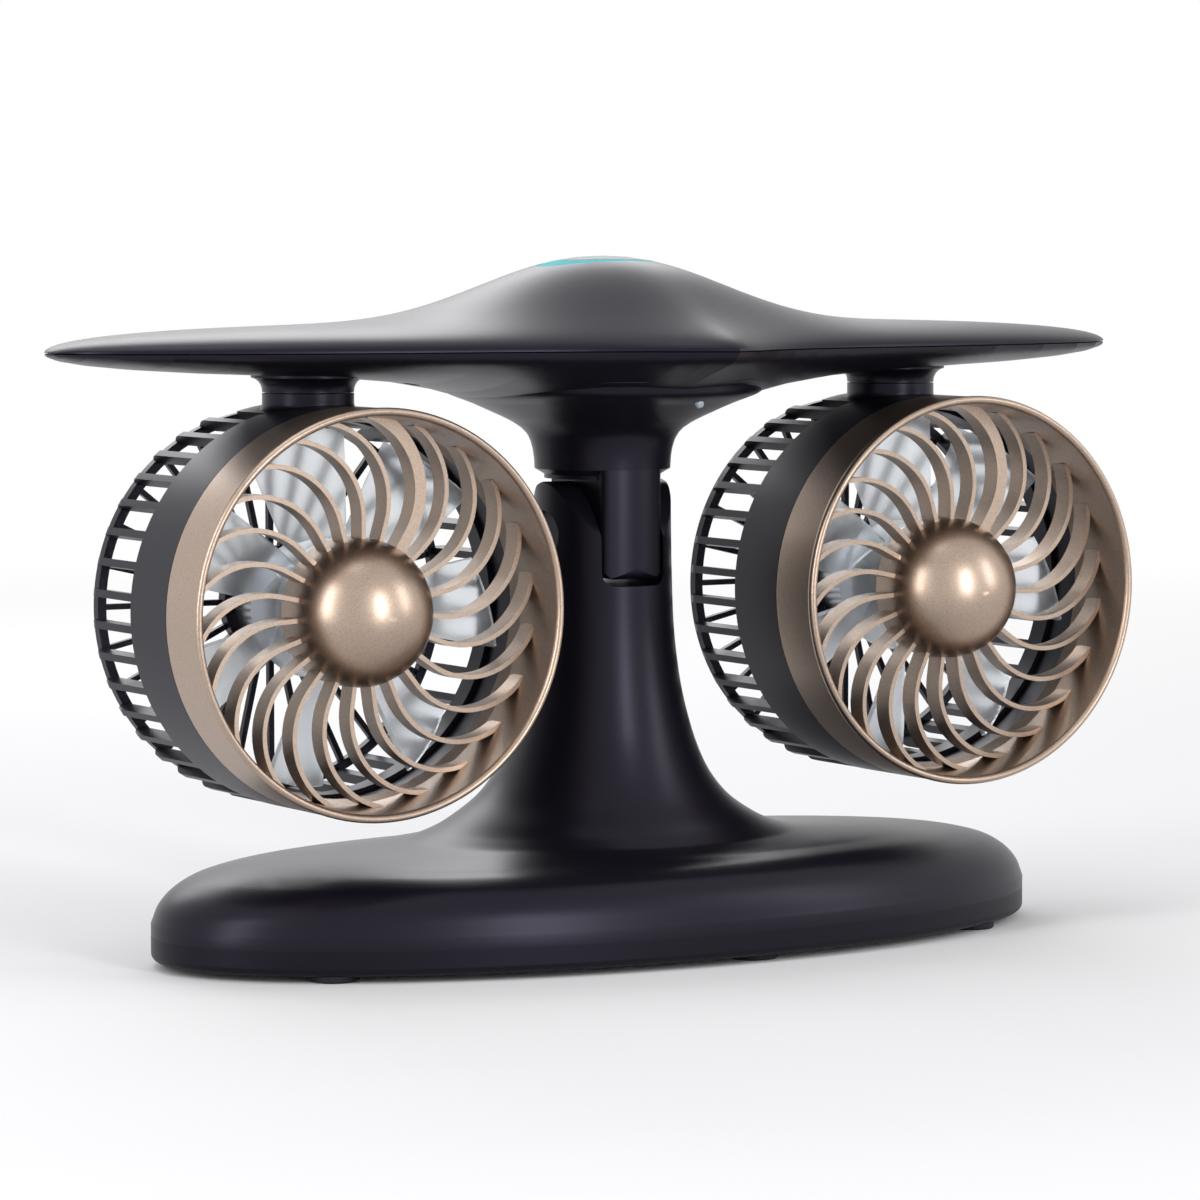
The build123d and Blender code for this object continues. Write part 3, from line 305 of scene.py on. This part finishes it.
slot_outline = ([(-x, z) for x, z in reversed(floor_curve)] + floor_curve
                + [(SLOT_HALF, CUT_TOP_Z), (-SLOT_HALF, CUT_TOP_Z)])
cut(foot, solid_from("cutter", [[(x, y, z) for x, z in slot_outline]
                                for y in (-CUT_REACH, CUT_REACH)]))
mouth = [(way_x * SOCKET_MOUTH[0] / 2, SOCKET_Z + way_z * SOCKET_MOUTH[2] / 2)
         for way_x, way_z in ((-1, -1), (1, -1), (1, 1), (-1, 1))]
mouth_ends = [FOOT_HALF_AXES[1] + way * SOCKET_MOUTH[1] / 2 for way in (-1, 1)]
cut(foot, solid_from("cutter", [[(x, y, z) for x, z in mouth] for y in mouth_ends]))
for face in foot.data.polygons:
    face.use_smooth = True
foot.data.set_sharp_from_angle(angle=math.radians(30))
foot.data.materials.clear()
foot.data.materials.append(satin_abs)
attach(foot, "base")
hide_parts("base_shell")

# Wing top
# The upper half of the wing, one thin moulding that swells to a hump for the button. It is shown
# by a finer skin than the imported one, from the same sizes, with a groove at the seam all round.
WING_HALF_SPAN = 161.0
WING_HALF_CHORD = 48.0
NOSE_LENGTH = 21.5
NOSE_SPREAD = 24.0
SEAM_Z = 159.2
TOP_RISE = 7.1
HUMP_RISE = 17.3
HUMP_SPREAD = 42.0
SKIN_THICK = 2.0
SEAM_GROOVE = 0.3
SPAN_STEPS = 120
CHORD_STEPS = 56
RING_PLACE_Z = 180.0
RING_HALF_AXES = (19.0, 13.0)


def wing_top_point(u, v, inset):
    """Point of the wing's top in millimetres; u runs along the span and v across it, -1 to 1."""
    along = math.sin(u * math.pi / 2)
    across = abs(math.sin(v * math.pi / 2))
    x = (WING_HALF_SPAN - inset) * along
    nose = NOSE_LENGTH * math.exp(-abs(x / NOSE_SPREAD) ** 1.35)
    chord = WING_HALF_CHORD * math.cos(u * math.pi / 2) + nose * (1 - abs(along) ** 8)
    y = math.copysign(across * max(chord - inset, 0), v)
    plate = max(TOP_RISE * max(1 - abs(along) ** 3.4, 0) ** 0.45 - inset, 0)
    hump = HUMP_RISE * math.exp(-(math.hypot(x, y) / HUMP_SPREAD) ** 2.2) * (1 - across ** 4)
    groove = SEAM_GROOVE * across ** 8
    return (x, y, SEAM_Z + groove + plate * math.sqrt(max(1 - across ** 2.6, 0)) + hump)


def wing_top_mesh():
    """Outer and inner skin, joined round the seam."""
    mesh = bmesh.new()
    layers = []
    for inset in (0.0, SKIN_THICK):
        rows = []
        for i in range(SPAN_STEPS + 1):
            u = 2 * i / SPAN_STEPS - 1
            row = [wing_top_point(u, 2 * j / CHORD_STEPS - 1, inset)
                   for j in range(CHORD_STEPS + 1)]
            rows.append([mesh.verts.new([value * MM for value in point]) for point in row])
        layers.append(rows)
    for rows, way in zip(layers, (1, -1)):
        for i in range(SPAN_STEPS):
            for j in range(CHORD_STEPS):
                corner = [rows[i][j], rows[i + 1][j], rows[i + 1][j + 1], rows[i][j + 1]]
                mesh.faces.new(corner[::way])
    rims = []
    for rows in layers:
        rims.append([row[0] for row in rows] + [row[-1] for row in reversed(rows)])
    count = len(rims[0])
    for k in range(count):
        after = (k + 1) % count
        mesh.faces.new((rims[0][after], rims[0][k], rims[1][k], rims[1][after]))
    bmesh.ops.remove_doubles(mesh, verts=mesh.verts, dist=0.02 * MM)
    bmesh.ops.dissolve_degenerate(mesh, edges=mesh.edges, dist=0.01 * MM)
    bmesh.ops.recalc_face_normals(mesh, faces=mesh.faces)
    data = bpy.data.meshes.new("wing_top")
    mesh.to_mesh(data)
    mesh.free()
    return data


def oval_cutter(half_axes, low_mm, high_mm):
    """An upright oval block to cut with."""
    bpy.ops.mesh.primitive_cylinder_add(vertices=128, radius=1.0, depth=1.0)
    cutter = bpy.context.object
    cutter.scale = (half_axes[0] * MM, half_axes[1] * MM, (high_mm - low_mm) * MM)
    cutter.location = (0, 0, (low_mm + high_mm) / 2 * MM)
    return cutter


wing_top = bpy.data.objects.new("wing_top", wing_top_mesh())
bpy.context.scene.collection.objects.link(wing_top)
cut(wing_top, oval_cutter(RING_HALF_AXES, SEAM_Z, RING_PLACE_Z + 10))
for face in wing_top.data.polygons:
    face.use_smooth = True
wing_top.data.set_sharp_from_angle(angle=math.radians(40))
wing_top.data.materials.append(satin_abs)
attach(wing_top, "wing")
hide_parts("wing_upper_shell")

# Bottom plate
# The same plastic with a coarser tool texture, so it looks a little duller than the foot.
textured_abs = moulded("textured_black_abs", "#0d0c12", 0.40, 0.8, 0.02, level=0.2)
finish_nodes(textured_abs, "base_plate")

# Pads under the foot
# Soft black rubber discs stuck into recesses in the plate.
pad_rubber = moulded("black_rubber", "#121212", 0.75, 1.0, 0.05)
finish_nodes(pad_rubber, "rubber_feet")

# Plugs over the hinge pin
# Black plugs, duller than the ears they close.
plug_plastic = moulded("black_plug_plastic", "#0a0a0c", 0.5, 0.5, 0.02, level=0.2)
finish_nodes(plug_plastic, "hinge_caps")


# Front grilles
# Moulded ABS in satin champagne-bronze metallic lacquer: fine flakes in a clear binder, soft
# highlights, brown in the shade.
bronze, tree = new_material("champagne_bronze_lacquer")
place = add_node(tree, "TexCoord")
flakes = add_node(tree, "TexVoronoi", {"Vector": place.outputs["Object"]}, Scale=1 / (0.35 * MM))
tint = add_node(tree, "ValToRGB", {"Fac": flakes.outputs["Distance"]})
tint.color_ramp.elements[0].color = linear("#b8a698")
tint.color_ramp.elements[1].color = linear("#a08c7c")
shader = add_node(tree, "BsdfPrincipled", {"Base Color": tint.outputs["Color"]}, Metallic=1.0,
                  Roughness=0.34)
add_node(tree, "OutputMaterial", {"Surface": shader.outputs["BSDF"]})
finish_nodes(bronze, "left_front_grille", "right_front_grille")

# Impellers
# Natural polypropylene, milky and slightly blue: the white room glows through the thin blades
# and the dark spokes behind them blur away.
clear_blade, tree = new_material("natural_polypropylene")
shader = add_node(tree, "BsdfPrincipled", Base_Color=linear("#f4f8fc"), Roughness=0.45, IOR=1.10,
                  Transmission_Weight=0.85)
add_node(tree, "OutputMaterial", {"Surface": shader.outputs["BSDF"]})
finish_nodes(clear_blade, "left_impeller", "right_impeller")


# Metal pieces inside: motors, shafts, screws, pin and socket
# Zinc-plated steel, cold and slightly brushed by rolling.
def rolled_steel(name, hex_colour, roughness):
    """Plated sheet or bar: fine streaks along its length, drawn at 0.6 mm."""
    material, tree = new_material(name)
    place = add_node(tree, "TexCoord")
    stretch = add_node(tree, "Mapping", {"Vector": place.outputs["Object"]}, Scale=(1.0, 0.05, 1.0))
    streaks = add_node(tree, "TexNoise", {"Vector": stretch.outputs["Vector"]},
                       Scale=1 / (0.6 * MM))
    gloss = add_node(tree, "MapRange", {"Value": streaks.outputs["Fac"]}, To_Min=roughness - 0.08,
                     To_Max=roughness + 0.08)
    shader = add_node(tree, "BsdfPrincipled", {"Roughness": gloss.outputs["Result"]},
                      Base_Color=linear(hex_colour), Metallic=1.0)
    add_node(tree, "OutputMaterial", {"Surface": shader.outputs["BSDF"]})
    return material


zinc = rolled_steel("zinc_plated_steel", "#b9bcc2", 0.3)
finish_nodes(zinc, "left_motor", "right_motor", "left_motor_shaft", "right_motor_shaft",
             "left_motor_screws", "right_motor_screws", "base_screws", "wing_screws", "tilt_pin",
             "usb_socket")
cast = rolled_steel("raw_cast_iron", "#3a3a3c", 0.6)
finish_nodes(cast, "ballast_weight")

# Nylon washers and clips
# Natural nylon, off-white and waxy, hidden in the joints.
nylon = moulded("natural_nylon", "#cfcabc", 0.4, 1.0, 0.01)
finish_nodes(nylon, "friction_washers", "left_swivel_clip", "right_swivel_clip")

# Circuit boards
# Glass-epoxy board under green solder mask, hidden in the foot and in the hump of the wing.
mask = moulded("green_solder_mask", "#174a30", 0.35, 1.2, 0.02)
finish_nodes(mask, "power_board", "control_board")

# Power button and its ring
# A domed black cap sits off centre in a pale teal ring, so the ring shows as a crescent.
cap_plastic = moulded("satin_black_cap", "#16151b", 0.34, 0.5, 0.01, level=0.24)
finish_nodes(cap_plastic, "power_button")
teal = moulded("pale_teal_polycarbonate", "#4fb4bc", 0.6, 0.8, 0.01, level=0.1)
finish_nodes(teal, "button_ring")

# Indicator lens
# Clear acrylic bead on the front of the trumpet.
lens, tree = new_material("clear_acrylic")
shader = add_node(tree, "BsdfPrincipled", Base_Color=linear("#dfe8f2"), Roughness=0.1, IOR=1.49,
                  Transmission_Weight=0.6)
add_node(tree, "OutputMaterial", {"Surface": shader.outputs["BSDF"]})
finish_nodes(lens, "indicator_lens")

bpy.context.scene.view_settings.view_transform = "Standard"
